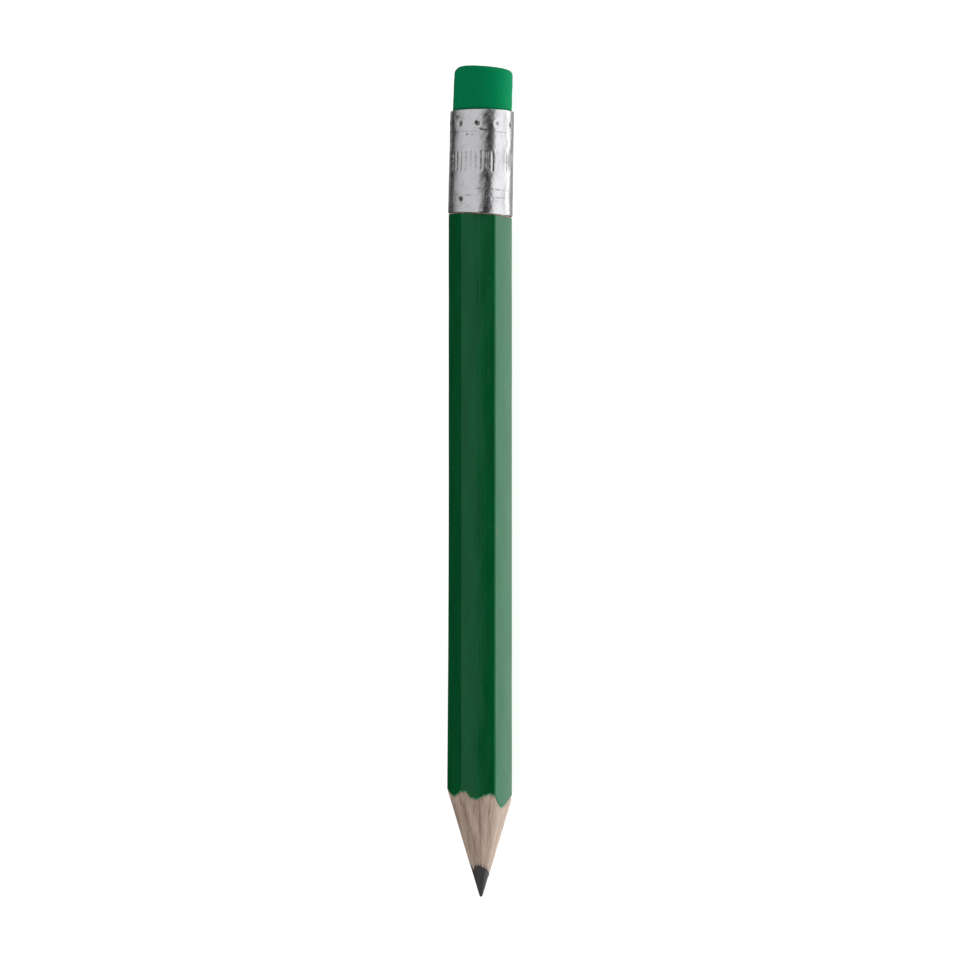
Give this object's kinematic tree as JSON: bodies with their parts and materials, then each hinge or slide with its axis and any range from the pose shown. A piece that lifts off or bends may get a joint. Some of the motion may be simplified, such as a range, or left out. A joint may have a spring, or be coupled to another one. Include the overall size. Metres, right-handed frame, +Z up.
{
  "type": "graphite pencil",
  "caption": "Short hexagonal wooden pencil, lacquered and sharpened, with a graphite core and a rubber eraser held in a crimped metal ferrule.",
  "frame": {"origin": "middle of the pencil's length, on the surface that it lies on, straight below its axis", "axes": "+Y along the pencil from its point to its eraser, +Z up, +X to the right with the eraser away from the viewer"},
  "size_m": [0.0078, 0.1, 0.0076],
  "materials": {
    "graphite": "satin",
    "wood": "matte",
    "glue": "matte",
    "lacquer": "gloss",
    "ferrule_metal": "satin",
    "eraser_rubber": "matte"
  },
  "bodies": {
    "root": {"graphite_core": "graphite", "slat_left": "wood", "slat_right": "wood", "glue_film": "glue", "lacquer_coat": "lacquer", "ferrule": "ferrule_metal", "eraser": "eraser_rubber"}
  },
  "joints": []
}
